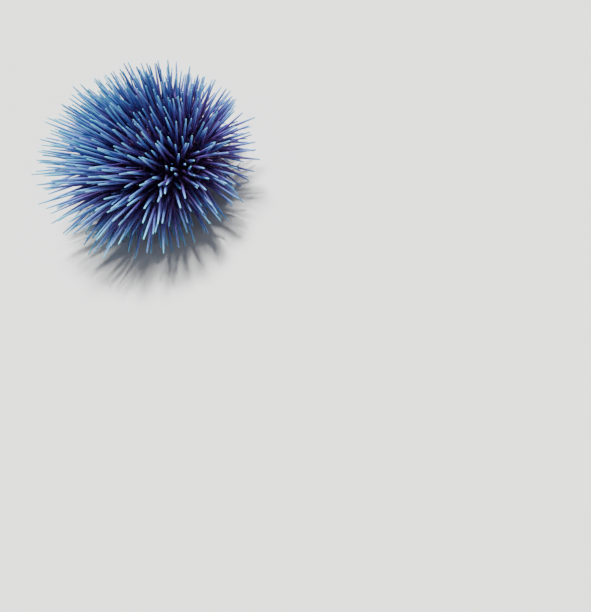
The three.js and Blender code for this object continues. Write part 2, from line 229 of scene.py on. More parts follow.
# Tube feet. The buccal ones stand in pairs on the membrane round the mouth.
FOOT_ANGLE = 10.5
FOOT_STEP = 2.6
FOOT_RINGS = 18
FOOT_SIDES = 10
FOOT_GAPS = 0.4
FOOT_LENGTHS = (0.15, 0.4)
FOOT_JITTER = 0.3
FOOT_SWAY = 0.12
FOOT_HALF_WAVES = (0.8, 1.8)
FOOT_SHARES = [0, 0.1, 0.9, 0.95, 0.98, 1]
FOOT_RADII = [0.34, 0.26, 0.22, 0.3, 0.52, 0.3]
FEET_FROM = 5
FEET_TO = 1
FOOT_OVER_FLOOR = 0.35
FLOOR_MARGIN = 0.01
LEAST_RINGS = 6
BUCCAL = {"ring": 5.9, "turn": 9, "root": 1.4, "drop": 0.85, "radius": 0.52, "sway": 0.45}
BUCCAL_SHARES = [0, 0.25, 0.75, 0.84, 0.93, 1]
BUCCAL_RADII = [1.25, 1, 0.85, 1.25, 1.4, 0.85]
BUCCAL_SPREAD = (0.88, 1.08)
BUCCAL_DROPS = (0.7, 1)
BUCCAL_SIDES = 20
BUCCAL_RIDGES = 5
BUCCAL_RIDGE_DEPTH = 0.05


def radians(degrees):
    return np.radians(degrees)


# The shape of the test


def skin_at(tilt):
    """Radius and height of the skin where its outward normal stands at this tilt from straight up."""
    depth = np.where(tilt < math.pi / 2, TEST_RISE, TEST_DROP)
    across = TEST_RADIUS * np.sin(tilt)
    along = depth * np.cos(tilt)
    n = np.hypot(across, along)
    return TEST_RADIUS * across / n, AMBITUS_HEIGHT + depth * along / n


FINE_TILTS = np.linspace(0, math.pi, 4001)
FINE_RADII, FINE_HEIGHTS = skin_at(FINE_TILTS)
FINE_ARCS = np.concatenate([[0], np.cumsum(np.hypot(np.diff(FINE_RADII), np.diff(FINE_HEIGHTS)))])
UPPER = FINE_TILTS < math.pi / 2
APICAL_ARC = np.interp(APICAL_RADIUS, FINE_RADII[UPPER], FINE_ARCS[UPPER])
PERISTOME_ARC = np.interp(-PERISTOME_RADIUS, -FINE_RADII[~UPPER], FINE_ARCS[~UPPER])


def tilt_at(arc):
    """Tilt of the skin at an arc length from the apex."""
    return np.interp(arc, FINE_ARCS, FINE_TILTS)


def on_skin(arc, azimuth):
    """Points of the skin and their outward normals, at arcs from the apex and azimuths."""
    tilt = tilt_at(arc)
    r, z = skin_at(tilt)
    out = np.stack([np.cos(azimuth), np.sin(azimuth), np.zeros_like(azimuth)], -1)
    up = np.array([0.0, 0.0, 1.0])
    points = out * r[..., None] + up * z[..., None]
    normals = out * np.sin(tilt)[..., None] + up * np.cos(tilt)[..., None]
    return points, normals


def height_over_skin(points):
    """How far points lie outside the skin, to the first order."""
    rise = points[:, 2] - AMBITUS_HEIGHT
    depth = np.where(rise > 0, TEST_RISE, TEST_DROP)
    r = np.hypot(points[:, 0], points[:, 1])
    k = np.hypot(r / TEST_RADIUS, rise / depth)
    return (k - 1) * k / np.hypot(r / TEST_RADIUS**2, rise / depth**2)


def sector_list():
    """Each sector's name, the azimuth of its middle and half its angle."""
    sectors = []
    for ray in range(RAYS):
        middle = FIRST_RAY + ray * RAY_ANGLE
        half = RAY_ANGLE / 2 - AMBULACRUM_HALF_ANGLE
        sectors.append((f"ambulacrum_{ray + 1}", middle, AMBULACRUM_HALF_ANGLE))
        sectors.append((f"interambulacrum_{ray + 1}", middle + RAY_ANGLE / 2, half))
    return sectors


def offset_in(sector, azimuth):
    """Angle of an azimuth from the middle of a sector, in radians, from -pi to pi."""
    return (azimuth - radians(sector[1]) + math.pi) % (2 * math.pi) - math.pi


# The layout of the spines


class Spines:
    """Many spines as arrays: where they stand, where they point and how large they are."""

    COLUMNS = ("arcs", "azimuths", "lengths", "bases", "tips", "tones", "axes")

    def __init__(self, arcs, azimuths, lengths, bases, tips, tones, axes=None):
        self.arcs = arcs
        self.azimuths = azimuths
        self.lengths = lengths
        self.bases = bases
        self.tips = tips
        self.tones = tones
        self.roots, self.normals = on_skin(arcs, azimuths)
        self.axes = self.normals.copy() if axes is None else axes

    def __len__(self):
        return len(self.arcs)

    def part(self, mask):
        """The spines that a mask picks out."""
        return Spines(*[getattr(self, column)[mask] for column in self.COLUMNS])

    def slant(self, rng, jitter):
        """Points each along its normal, leaning with the whole animal, and a little its own way."""
        lean = [LEAN * math.cos(radians(OPEN_SIDE)), LEAN * math.sin(radians(OPEN_SIDE)), 0]
        self.axes = self.normals + lean + rng.uniform(-jitter, jitter, self.normals.shape)
        self.axes /= np.linalg.norm(self.axes, axis=1, keepdims=True)
        self.rest_on_floor()

    def rest_on_floor(self):
        """Lifts each spine that would pass through the floor, until its tip rests on it."""
        lowest = np.clip((self.tips - self.roots[:, 2]) / self.lengths, -STEEPEST, 1)
        low = self.axes[:, 2] < lowest
        level = np.hypot(self.axes[:, 0], self.axes[:, 1])
        widen = np.sqrt(1 - lowest**2) / np.maximum(level, LEAST_DIVISOR)
        self.axes[low, :2] *= widen[low, None]
        self.axes[low, 2] = lowest[low]


def joined(groups):
    """One set of spines from several."""
    return Spines(*[
        np.concatenate([getattr(group, column) for group in groups]) for column in Spines.COLUMNS
    ])


def full_length(arc, azimuth):
    """Length of the longest spines at a place: they are longest on the open side."""
    side = np.sin(tilt_at(arc)) * np.cos(azimuth - radians(OPEN_SIDE))
    return np.interp(np.degrees(tilt_at(arc)), LENGTH_TILTS, LENGTHS) * (1 + SIDE_GAIN * side)


def node_surface(name):
    """A solid's corners, each once, in millimetres from the animal's axis, and its triangles."""
    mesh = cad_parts[name].data
    points = np.empty(len(mesh.vertices) * 3)
    mesh.vertices.foreach_get("co", points)
    points = points.reshape(-1, 3) / MM - AXIS
    mesh.calc_loop_triangles()
    triangles = np.empty(len(mesh.loop_triangles) * 3, int)
    mesh.loop_triangles.foreach_get("vertices", triangles)
    _, first, place = np.unique(np.round(points, 3), axis=0, return_index=True, return_inverse=True)
    return points[first], place.ravel()[triangles].reshape(-1, 3)


def linked(count, pairs):
    """Groups of the numbers below count that pairs link together."""
    label = np.arange(count)
    while True:
        lowest = label.copy()
        np.minimum.at(lowest, pairs[:, 0], label[pairs[:, 1]])
        np.minimum.at(lowest, pairs[:, 1], label[pairs[:, 0]])
        if (lowest == label).all():
            return label
        label = lowest


def skin_crossing(tip, axis):
    """Length from where a spine's line leaves the skin to its tip."""
    for depth, above in ((TEST_RISE, True), (TEST_DROP, False)):
        size = np.array([TEST_RADIUS, TEST_RADIUS, depth])
        at = (tip - [0, 0, AMBITUS_HEIGHT]) / size
        along = axis / size
        a, b, c = along @ along, at @ along, at @ at - 1
        if b * b < a * c:
            continue
        length = (b - math.sqrt(b * b - a * c)) / a
        if (tip[2] - length * axis[2] > AMBITUS_HEIGHT) == above:
            return length
    return None


def tilt_under(root):
    """Tilt of the skin at a point on it."""
    rise = root[2] - AMBITUS_HEIGHT
    depth = TEST_RISE if rise > 0 else TEST_DROP
    return math.atan2(math.hypot(root[0], root[1]) / TEST_RADIUS**2, rise / depth**2)


def above_floor(root, axis, length, tip_radius):
    """A spine's length, less what would reach below the floor."""
    room = root[2] - tip_radius * math.hypot(axis[0], axis[1])
    return min(length, room / max(-axis[2], LEAST_DIVISOR))


def spines_of(name, rng):
    """The spines of a solid, each from the flat sides that run from its tip down to the skin.

    All the sides of one spine lean the same way to its axis, and they meet in one point on it.
    """
    points, triangles = node_surface(name)
    clear = height_over_skin(points) > CLEAR_OF_SKIN
    pairs = np.concatenate([triangles[:, [0, 1]], triangles[:, [1, 2]]])
    label = linked(len(points), pairs[clear[pairs].all(1)])
    rows = []
    for number in np.unique(label[clear]):
        tip_points = (label == number) & clear
        on_tip = tip_points[triangles].sum(1)
        a, b, c = points[triangles[(on_tip > 0) & (on_tip < 3)]].transpose(1, 0, 2)
        normals = np.cross(b - a, c - a)
        areas = np.linalg.norm(normals, axis=1)
        large = areas > LEAST_TRIANGLE
        normals, a = normals[large], a[large]
        normals /= np.linalg.norm(normals, axis=1, keepdims=True)
        offsets = (normals * a).sum(1)
        lean = np.linalg.svd(np.column_stack([normals, -np.ones(len(normals))]))[2][-1]
        axis = lean[:3] / np.linalg.norm(lean[:3])
        middle = points[tip_points].mean(0)
        axis *= np.sign(axis @ (middle - [0, 0, AMBITUS_HEIGHT]))
        meeting = np.linalg.lstsq(normals, offsets, rcond=None)[0]
        tip = meeting + axis * ((points[tip_points] - meeting) @ axis).max()
        length = skin_crossing(tip, axis)
        if length is None:
            continue
        root = tip - axis * length
        arc = np.interp(tilt_under(root), FINE_TILTS, FINE_ARCS)
        base = ROUND_FOR_SQUARE * np.abs(normals @ root - offsets).mean()
        end = ROUND_FOR_SQUARE * np.abs(normals @ tip - offsets).mean()
        length = above_floor(root, axis, length, end)
        rows.append([arc, math.atan2(root[1], root[0]), length, base, end, rng.uniform(), *axis])
    rows = np.array(rows)
    return Spines(*rows[:, :6].T, rows[:, 6:])


def scattered(rng, taken, spacing, tries):
    """Arcs and azimuths of places all over the wall, a spacing apart and clear of what is taken.

    taken is pairs of a point and the room round it.
    """
    weights = np.cumsum(FINE_RADII)
    arcs = np.interp(rng.uniform(0, weights[-1], tries), weights, FINE_ARCS)
    azimuths = rng.uniform(0, 2 * math.pi, tries)
    wall = (arcs > APICAL_ARC + BARE_ABOVE) & (arcs < PERISTOME_ARC - BARE_BELOW)
    arcs, azimuths = arcs[wall], azimuths[wall]
    points, _ = on_skin(arcs, azimuths)
    found = np.empty((len(points) + len(taken), 3))
    rooms = np.full(len(found), spacing)
    found[: len(taken)] = [p for p, _ in taken]
    rooms[: len(taken)] = [room for _, room in taken]
    count = len(taken)
    kept = []
    for i, point in enumerate(points):
        apart = ((found[:count] - point) ** 2).sum(1)
        if (apart < rooms[:count] ** 2).any():
            continue
        found[count] = point
        count += 1
        kept.append(i)
    return arcs[kept], azimuths[kept]


def spines_between(rng, others, kind):
    """Spines of one kind in the gaps between others."""
    taken = [(p, kind["spacing"]) for p in others.roots]
    arcs, azimuths = scattered(rng, taken, kind["spacing"], kind["tries"])
    count = len(arcs)
    lengths = full_length(arcs, azimuths) * rng.uniform(*kind["share"], count)
    bases = kind["base"] * rng.uniform(*BASE_SPREAD, count)
    tips = np.full(count, kind["tip"])
    made = Spines(arcs, azimuths, lengths, bases, tips, rng.uniform(0, 1, count))
    made.slant(rng, kind["jitter"])
    return made


def miliary_spines(rng, longs, shorts):
    """The finest spines, of one thickness, on the skin that is left."""
    taken = [(p, MILIARY["from_long"]) for p in longs.roots]
    taken += [(p, MILIARY["from_short"]) for p in shorts.roots]
    arcs, azimuths = scattered(rng, taken, MILIARY["spacing"], MILIARY["tries"])
    count = len(arcs)
    lengths = rng.uniform(*MILIARY["length"], count)
    bases = np.full(count, MILIARY["base"])
    tips = np.full(count, MILIARY["tip"])
    made = Spines(arcs, azimuths, lengths, bases, tips, rng.uniform(0, 1, count))
    made.slant(rng, MILIARY["jitter"])
    return made


def bend_clear(spines, fixed):
    """Turns spines a little at a time until each is clear of its neighbours. Fixed ones stay."""
    apart = np.linalg.norm(spines.roots[:, None] - spines.roots[None], axis=2)
    first, second = np.nonzero(np.triu(apart < NEIGHBOUR_REACH, 1))
    free = ~(fixed[first] & fixed[second])
    first, second = first[free], second[free]
    share_first = np.where(fixed[first], 0, np.where(fixed[second], 1, 0.5))
    for _ in range(BENDING_ROUNDS):
        a, b = spines.axes[first], spines.axes[second]
        long_a, long_b = spines.lengths[first], spines.lengths[second]
        between = spines.roots[first] - spines.roots[second]
        turn = (a * b).sum(1)
        on_a = (a * between).sum(1)
        on_b = (b * between).sum(1)
        s = np.clip((turn * on_b - on_a) / np.maximum(1 - turn**2, LEAST_DIVISOR), 0, long_a)
        t = np.clip(turn * s + on_b, 0, long_b)
        s = np.clip(turn * t - on_a, 0, long_a)
        step = between + a * s[:, None] - b * t[:, None]
        distance = np.maximum(np.linalg.norm(step, axis=1), LEAST_DIVISOR)
        share_a, share_b = s / long_a, t / long_b
        thick_a = spines.bases[first] * (1 - TAPER_FOR_ROOM * share_a)
        thick_b = spines.bases[second] * (1 - TAPER_FOR_ROOM * share_b)
        short_of = thick_a + thick_b + CLEARANCE - distance
        touching = short_of > 0
        if not touching.any():
            break
        amount = np.minimum(short_of[touching], LARGEST_PUSH)[:, None]
        push = step[touching] / distance[touching, None] * amount
        part = share_first[touching, None]
        lever_a = np.maximum(share_a[touching], LEAST_LEVER)[:, None]
        lever_b = np.maximum(share_b[touching], LEAST_LEVER)[:, None]
        moves = np.zeros_like(spines.roots)
        np.add.at(moves, first[touching], part * push / lever_a)
        np.add.at(moves, second[touching], (part - 1) * push / lever_b)
        moves[fixed] = 0
        tips = spines.axes * spines.lengths[:, None] + moves
        axes = tips / np.linalg.norm(tips, axis=1, keepdims=True)
        spines.axes[~fixed] = axes[~fixed]
        kept = spines.axes[fixed].copy()
        spines.rest_on_floor()
        spines.axes[fixed] = kept


# Making meshes


def piece_from(name, points, faces, uvs, values, material):
    """An object from millimetre points.

    faces is a list of index arrays, uvs has one pair for each corner, and values are the named
    numbers at each point.
    """
    mesh = bpy.data.meshes.new(name)
    mesh.vertices.add(len(points))
    mesh.vertices.foreach_set("co", ((points + AXIS) * MM).ravel())
    corners = np.concatenate([f.ravel() for f in faces])
    sizes = np.concatenate([np.full(len(f), f.shape[1]) for f in faces])
    mesh.loops.add(len(corners))
    mesh.loops.foreach_set("vertex_index", corners)
    mesh.polygons.add(len(sizes))
    mesh.polygons.foreach_set("loop_start", np.concatenate([[0], np.cumsum(sizes)[:-1]]))
    mesh.update(calc_edges=True)
    mesh.shade_smooth()
    layer = mesh.uv_layers.new(name="OFBake")
    layer.data.foreach_set("uv", np.concatenate([u.reshape(-1, 2) for u in uvs]).ravel())
    for key, amounts in values.items():
        attribute = mesh.attributes.new(key, "FLOAT", "POINT")
        attribute.data.foreach_set("value", amounts.ravel())
    mesh.materials.append(material)
    piece = bpy.data.objects.new(name, mesh)
    bpy.context.scene.collection.objects.link(piece)
    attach(piece, "root")
    return piece


def tubes(name, paths, radii, sides, patches, tones, material, flutes=0, depth=0.0, pale=1.0):
    """One object of many round tubes, each closed at both ends.

    paths is (tubes, rings, 3) and radii (tubes, rings). patches is (tubes, 4): the middle and the
    size of each tube's place on the bake map. pale is how far up the ramp of colours a tip gets.
    """
    count, rings, _ = paths.shape
    along = np.gradient(paths, axis=1)
    along /= np.linalg.norm(along, axis=2, keepdims=True)
    mean = along.mean(1, keepdims=True)
    upright = np.abs(mean[..., 2:]) > 0.9
    helper = np.where(upright, [[[1.0, 0.0, 0.0]]], [[[0.0, 0.0, 1.0]]])
    side = np.cross(along, helper)
    side /= np.linalg.norm(side, axis=2, keepdims=True)
    other = np.cross(along, side)
    angles = np.linspace(0, 2 * math.pi, sides, endpoint=False)
    ridge = 1 + depth * np.cos(flutes * angles)
    around = (
        side[:, :, None] * np.cos(angles)[:, None] + other[:, :, None] * np.sin(angles)[:, None]
    )
    shell = paths[:, :, None] + around * (radii[:, :, None] * ridge)[..., None]
    body = shell.reshape(count, rings * sides, 3)
    points = np.concatenate([body, paths[:, :1], paths[:, -1:]], axis=1).reshape(-1, 3)

    k, i = np.meshgrid(np.arange(rings - 1), np.arange(sides), indexing="ij")
    k, i = k.ravel(), i.ravel()
    j = (i + 1) % sides
    quads = np.stack([k * sides + i, (k + 1) * sides + i, (k + 1) * sides + j, k * sides + j], 1)
    rim = np.arange(sides)
    after = (rim + 1) % sides
    last = (rings - 1) * sides
    start = np.stack([np.full(sides, rings * sides), rim, after], 1)
    end = np.stack([last + rim, np.full(sides, rings * sides + 1), last + after], 1)
    offsets = (np.arange(count) * (rings * sides + 2))[:, None, None]

    quad_u = np.stack([i, i, i + 1, i + 1], 1) / sides
    quad_v = np.stack([k, k + 1, k + 1, k], 1) / (rings - 1)
    start_u = np.stack([rim + 0.5, rim, rim + 1], 1) / sides
    end_u = np.stack([rim, rim + 0.5, rim + 1], 1) / sides

    def placed(u, v):
        middle, size = patches[:, None, None, :2], patches[:, None, None, 2:]
        return middle + (np.stack([u, v], -1)[None] - 0.5) * size

    uvs = [
        placed(quad_u, quad_v),
        placed(start_u, np.zeros_like(start_u)),
        placed(end_u, np.ones_like(end_u)),
    ]
    faces = [(f[None] + offsets).reshape(-1, f.shape[1]) for f in (quads, start, end)]
    steps = np.linspace(0, 1, rings)
    run = np.concatenate([np.repeat(steps, sides), [0.0, 1.0]])
    crest = np.concatenate([np.tile((ridge - 1) / max(depth, LEAST_DIVISOR), rings), [0.0, 0.0]])
    values = {
        # pale below 1 keeps a tip low on the ramp: painted shade on spines down among the long ones
        "along": np.tile(run * pale, count),
        "crest": np.tile(crest, count),
        "tone": np.repeat(tones, rings * sides + 2),
    }
    return piece_from(name, points, faces, uvs, values, material)


def grid_patches(count, columns):
    """Places on the bake map in rows of so many columns, with a gap round each."""
    rows = math.ceil(count / columns)
    size = [PATCH_FILL / columns, PATCH_FILL / rows]
    return np.array([
        [(i % columns + 0.5) / columns, (i // columns + 0.5) / rows, *size] for i in range(count)
    ])


def map_places(spines, sector):
    """Where the spines' roots are on the bake map: a round one, or a sector's where one is given."""
    if sector is None:
        radius = MAP_RADIUS * spines.arcs / FINE_ARCS[-1]
        return 0.5 + radius * np.cos(spines.azimuths), 0.5 + radius * np.sin(spines.azimuths)
    across = offset_in(sector, spines.azimuths) / radians(sector[2])
    return 0.5 + MAP_HALF_WIDTH * across, MAP_EDGE + MAP_HEIGHT * spines.arcs / FINE_ARCS[-1]


def spine_piece(name, spines, sector, kind, material):
    """Spines as one object, each with its milled collar and tapered shaft."""
    shaft = np.linspace(SHAFT_FROM, SHAFT_TO, kind["rings"])
    shares = np.concatenate([COLLAR_SHARES, shaft, [1.0]])
    ends = (TIP_SHARE * spines.tips / spines.bases)[:, None]
    taper = 1 - (1 - ends) * shaft**TAPER_POWER
    collars = np.tile(COLLAR_RADII, (len(spines), 1))
    radii = np.concatenate([collars, taper, taper[:, -1:] * BLUNTNESS], axis=1) * spines.bases[:, None]
    feet = spines.roots - spines.axes * ROOT_DEPTH
    reach = (spines.lengths + ROOT_DEPTH)[:, None] * shares
    # the collar's height goes by the base, and doesn't grow with the spine
    heights = COLLAR_SHARES * COLLAR_HEIGHT * spines.bases[:, None]
    reach[:, : len(COLLAR_SHARES)] = heights + ROOT_DEPTH * COLLAR_START
    reach[:, 0] = 0
    paths = feet[:, None] + spines.axes[:, None] * reach[..., None]
    u, v = map_places(spines, sector)
    width, height = kind["patch"]
    patches = np.stack([u, v, np.full(len(u), width), np.full(len(u), height)], 1)
    # Painted light and shade: spines on one side take paler, bluer colours, and those away from it darker
    # ones
    side = (1 - np.cos(spines.azimuths - radians(PAINTED_LIGHT_SIDE))) / 2
    low = np.clip(tilt_at(spines.arcs) / radians(LOW_TILT) - 1, 0, 1)
    tones = CHANCE_TONE * spines.tones + (1 - CHANCE_TONE - LOW_VIOLET) * side + LOW_VIOLET * low
    tubes(
        name, paths, radii, 2 * kind["flutes"], patches, tones, material,
        kind["flutes"], kind["depth"], kind["pale"],
    )


# Finishes


class Value:
    """A shader socket that Python's operators work on: each adds a Math node."""

    def __init__(self, finish, socket):
        self.finish = finish
        self.socket = socket

    def _math(self, operation, first, second):
        return self.finish.node("ShaderNodeMath", {"operation": operation}, {0: first, 1: second})

    def __add__(self, other):
        return self._math("ADD", self, other)

    def __radd__(self, other):
        return self._math("ADD", other, self)

    def __sub__(self, other):
        return self._math("SUBTRACT", self, other)

    def __rsub__(self, other):
        return self._math("SUBTRACT", other, self)

    def __mul__(self, other):
        return self._math("MULTIPLY", self, other)

    def __rmul__(self, other):
        return self._math("MULTIPLY", other, self)


def fill_ramp(ramp, stops):
    """Gives a ramp its stops, each a place and a colour."""
    while len(ramp.elements) < len(stops):
        ramp.elements.new(1)
    for element, (place, colour) in zip(ramp.elements, stops):
        element.position = place
        element.color = (*colour, 1)


class Finish:
    """One material and the nodes behind its surface."""

    def __init__(self, name, **constants):
        self.material = bpy.data.materials.new(name)
        self.material.use_nodes = True
        self.tree = self.material.node_tree
        self.surface = self.tree.nodes["Principled BSDF"]
        for socket, value in constants.items():
            self.surface.inputs[socket.replace("_", " ")].default_value = value

    def node(self, kind, settings, sockets, output=0):
        made = self.tree.nodes.new(kind)
        for name, value in settings.items():
            if name == "stops":
                fill_ramp(made.color_ramp, value)
            else:
                setattr(made, name, value)
        for name, value in sockets.items():
            self.feed(made.inputs[name], value)
        return Value(self, made.outputs[output])

    def feed(self, socket, value):
        if isinstance(value, Value):
            self.tree.links.new(value.socket, socket)
        else:
            socket.default_value = value

    def drive(self, name, value):
        self.feed(self.surface.inputs[name], value)

    def number(self, name):
        return self.node("ShaderNodeAttribute", {"attribute_name": name}, {}, "Fac")

    def place(self):
        return self.node("ShaderNodeTexCoord", {}, {}, "Object")

    def noise(self, scale, detail=3.0, roughness=0.5):
        sockets = {"Vector": self.place(), "Scale": scale, "Detail": detail, "Roughness": roughness}
        return self.node("ShaderNodeTexNoise", {}, sockets, "Fac")

    def ramp(self, factor, stops):
        return self.node("ShaderNodeValToRGB", {"stops": stops}, {"Fac": factor}, "Color")

    def mix(self, factor, first, second, blend="MIX"):
        settings = {"data_type": "RGBA", "blend_type": blend, "clamp_factor": True}
        return self.node("ShaderNodeMix", settings, {0: factor, 6: first, 7: second}, 2)

    def bump(self, height, strength, distance):
        sockets = {"Height": height, "Strength": strength, "Distance": distance}
        self.drive("Normal", self.node("ShaderNodeBump", {}, sockets, "Normal"))


def spine_finish():
    """Satin calcite: deep violet at the root, partly painted shade, blue-violet up the shaft, and pale blue
    at the tip, partly a painted highlight.
    """
    finish = Finish("spine_calcite", IOR=1.5, Specular_IOR_Level=0.3)
    along = finish.number("along")
    tone = finish.number("tone")
    crest = finish.number("crest")
    mottle = finish.noise(scale=420, detail=4.0, roughness=0.6)
    # The tone's side part paints light and shade: spines on the lit side climb the ramp to paler colours,
    # those away from it fall to darker ones. Its random part is the spines' own tone.
    shade = along + (mottle - 0.5) * 0.22 - (tone - 0.5) * 0.25
    # The ramp up the spine: its dark root is partly painted shade down between the spines, and its pale
    # cyan tip partly a painted highlight
    colour = finish.ramp(shade, [
        (0.0, (0.020, 0.002, 0.026)),
        (0.35, (0.042, 0.009, 0.078)),
        (0.58, (0.105, 0.070, 0.320)),
        (0.8, (0.165, 0.325, 0.730)),
        (1.0, (0.220, 0.790, 1.000)),
    ])
    # The tint follows the tone: cyan towards the lit side, as painted light, and violet away from it and by
    # chance
    tint = finish.mix(tone, (0.70, 1.0, 1.0, 1), (1.0, 0.80, 0.95, 1))
    tinted = finish.mix(1.0, colour, tint, "MULTIPLY")
    # A dark violet mixed in towards the root and by tone: painted shade between the spines and away from
    # the lit side
    violet = finish.mix(tone * (0.9 - along), tinted, (0.13, 0.04, 0.26, 1))
    # Painted shade: the grooves between the flutes are darker than the crests
    groove = finish.mix(0.35, violet, (0.01, 0.005, 0.04, 1))
    finish.drive("Base Color", finish.mix((crest + 1) * 0.5, groove, violet))
    finish.drive("Roughness", 0.4 + mottle * 0.16)
    finish.bump(finish.noise(scale=1600, detail=2.0), strength=0.12, distance=0.0002)
    return finish.material


def skin_finish():
    """Moist skin over the test, near black violet, darker in the pores and grooves as painted shade, and
    paler on the bosses under the spines.
    """
    finish = Finish("test_skin", IOR=1.4, Specular_IOR_Level=0.2)
    height = finish.number("height")
    mottle = finish.noise(scale=350, detail=5.0, roughness=0.6)
    # Colour by height: darker in the pores and grooves, which is painted shade, and paler on the raised
    # bosses
    colour = finish.ramp(height + (mottle - 0.5) * 0.5, [
        (0.0, (0.004, 0.001, 0.009)),
        (0.4, (0.010, 0.003, 0.020)),
        (0.75, (0.022, 0.007, 0.042)),
        (1.0, (0.045, 0.016, 0.080)),
    ])
    finish.drive("Base Color", colour)
    finish.drive("Roughness", 0.65 + (mottle - 0.5) * 0.3)
    finish.bump(finish.noise(scale=1500, detail=3.0), strength=0.2, distance=0.0003)
    return finish.material


def plain_finish(name, colour, roughness, variation=0.4, **constants):
    """A finish of one hue, mottled with a darker one."""
    finish = Finish(name, **constants)
    mottle = finish.noise(scale=450, detail=4.0, roughness=0.6)
    dark = [part * (1 - variation) for part in colour]
    finish.drive("Base Color", finish.mix(mottle, (*dark, 1), (*colour, 1)))
    finish.drive("Roughness", roughness + (mottle - 0.5) * 0.15)
    finish.bump(finish.noise(scale=900, detail=3.0), strength=0.2, distance=0.0003)
    return finish.material


# The skin of the test


def bosses(points, spines, boss):
    """Rise of the skin at points from a rounded boss under each spine."""
    rise = np.zeros(len(points))
    for root in spines.roots:
        near = np.nonzero(np.abs(points - root).max(1) < boss["radius"])[0]
        apart = np.linalg.norm(points[near] - root, axis=1) / boss["radius"]
        rise[near] = np.maximum(rise[near], boss["height"] * np.clip(1 - apart**2, 0, 1) ** 1.5)
    return rise


def apical_rise(arc, azimuth):
    """Rise of the plates round the apex: the periproct, five genital and five ocular plates."""
    x = arc * np.cos(azimuth)
    y = arc * np.sin(azimuth)
    rise = PERIPROCT["height"] * np.clip(1 - (arc / PERIPROCT["radius"]) ** 2, 0, 1)
    for ray in range(RAYS):
        for plate in (GENITAL_PLATE, OCULAR_PLATE):
            at = radians(FIRST_RAY + ray * RAY_ANGLE + plate["turn"])
            ring, radius = plate["ring"], plate["radius"]
            apart = np.hypot(x - ring * np.cos(at), y - ring * np.sin(at))
            crown = np.clip(PLATE_CROWN * (1 - (apart / radius) ** 4), 0, 1)
            rise = np.maximum(rise, plate["height"] * crown)
            pore_ring = ring + PLATE_PORE["out"] * radius
            from_pore = np.hypot(x - pore_ring * np.cos(at), y - pore_ring * np.sin(at))
            rise -= PLATE_PORE["depth"] * np.exp(-((from_pore / PLATE_PORE["radius"]) ** 2))
    return rise


def ray_rise(arc, azimuth):
    """Fall of the wall at the pores of the tube feet and at the grooves between columns of plates."""
    r, _ = skin_at(tilt_at(arc))
    along = (arc % PORE_STEP) - PORE_MIDDLE
    rise = np.zeros(len(arc))
    for ray in range(RAYS):
        middle = radians(FIRST_RAY + ray * RAY_ANGLE)
        off = np.abs((azimuth - middle + math.pi) % (2 * math.pi) - math.pi)
        for angle in PORE_ANGLES:
            across = (off - radians(angle)) * r
            pore = np.exp(-((across**2 + along**2) / PORE_RADIUS**2))
            rise -= PORE_DEPTH * pore * (arc > APICAL_ARC + PORES_FROM)
        for angle in (AMBULACRUM_HALF_ANGLE, RAY_ANGLE / 2):
            groove = np.exp(-(((off - radians(angle)) * r / GROOVE_WIDTH) ** 2))
            rise -= GROOVE_DEPTH * groove * (arc > APICAL_ARC)
    return rise


def test_skin(material, longs, shorts):
    """The whole skin as one surface, from the apex to the edge of the peristome."""
    arcs = np.linspace(SKIN_FROM, PERISTOME_ARC, SKIN_ROWS)
    azimuths = np.linspace(0, 2 * math.pi, SKIN_COLUMNS, endpoint=False)
    arc, azimuth = np.meshgrid(arcs, azimuths, indexing="ij")
    arc, azimuth = arc.ravel(), azimuth.ravel()
    points, normals = on_skin(arc, azimuth)
    rise = np.maximum(bosses(points, longs, TALL_BOSS), bosses(points, shorts, LOW_BOSS))
    rise += ray_rise(arc, azimuth)
    rise = np.where(arc < APICAL_ARC, apical_rise(arc, azimuth), rise)
    points = points + normals * rise[:, None]

    k, i = np.meshgrid(np.arange(SKIN_ROWS - 1), np.arange(SKIN_COLUMNS), indexing="ij")
    k, i = k.ravel(), i.ravel()
    this, below = k * SKIN_COLUMNS, (k + 1) * SKIN_COLUMNS
    j = (i + 1) % SKIN_COLUMNS
    quads = np.stack([this + i, below + i, below + j, this + j], 1)
    cap = np.arange(SKIN_COLUMNS)[None]
    radius = MAP_RADIUS * arcs[:, None] / arcs[-1]
    turns = np.append(azimuths, 2 * math.pi)
    spots = np.stack([0.5 + radius * np.cos(turns), 0.5 + radius * np.sin(turns)], -1)
    uvs = [
        np.stack([spots[k, i], spots[k + 1, i], spots[k + 1, i + 1], spots[k, i + 1]], 1),
        spots[:1, :SKIN_COLUMNS],
    ]
    values = {"height": np.clip(BARE_SKIN + rise, 0, 1)}
    piece = piece_from("test_skin", points, [quads, cap], uvs, values, material)
    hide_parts("apical_disc", *[sector[0] for sector in sector_list()])


# The mouth


def wrinkles(r, azimuth):
    """Rise of the membrane: rings that wander and break up, soft folds and the scales between them.

    The numbers here only set how irregular each of them is.
    """
    wander = 1.3 * np.sin(3 * azimuth + 0.7) + 0.8 * np.sin(8 * azimuth + 2.1 + r)
    strength = 0.6 + 0.4 * np.sin(5 * azimuth + 1.7 * r)
    rings = np.sin(2 * math.pi * r / RINGS["step"] + wander) * strength
    folds = np.sin(FOLDS["count"] * azimuth + 1.5 * np.sin(1.9 * r) + 0.9 * np.sin(7 * azimuth))
    across = np.sin(SCALES["count"] * azimuth + 2 * np.sin(2.3 * r))
    along = np.sin(2 * math.pi * r / SCALES["step"] + 2 * np.sin(4 * azimuth))
    return RINGS["height"] * rings + FOLDS["height"] * folds + SCALES["height"] * across * along


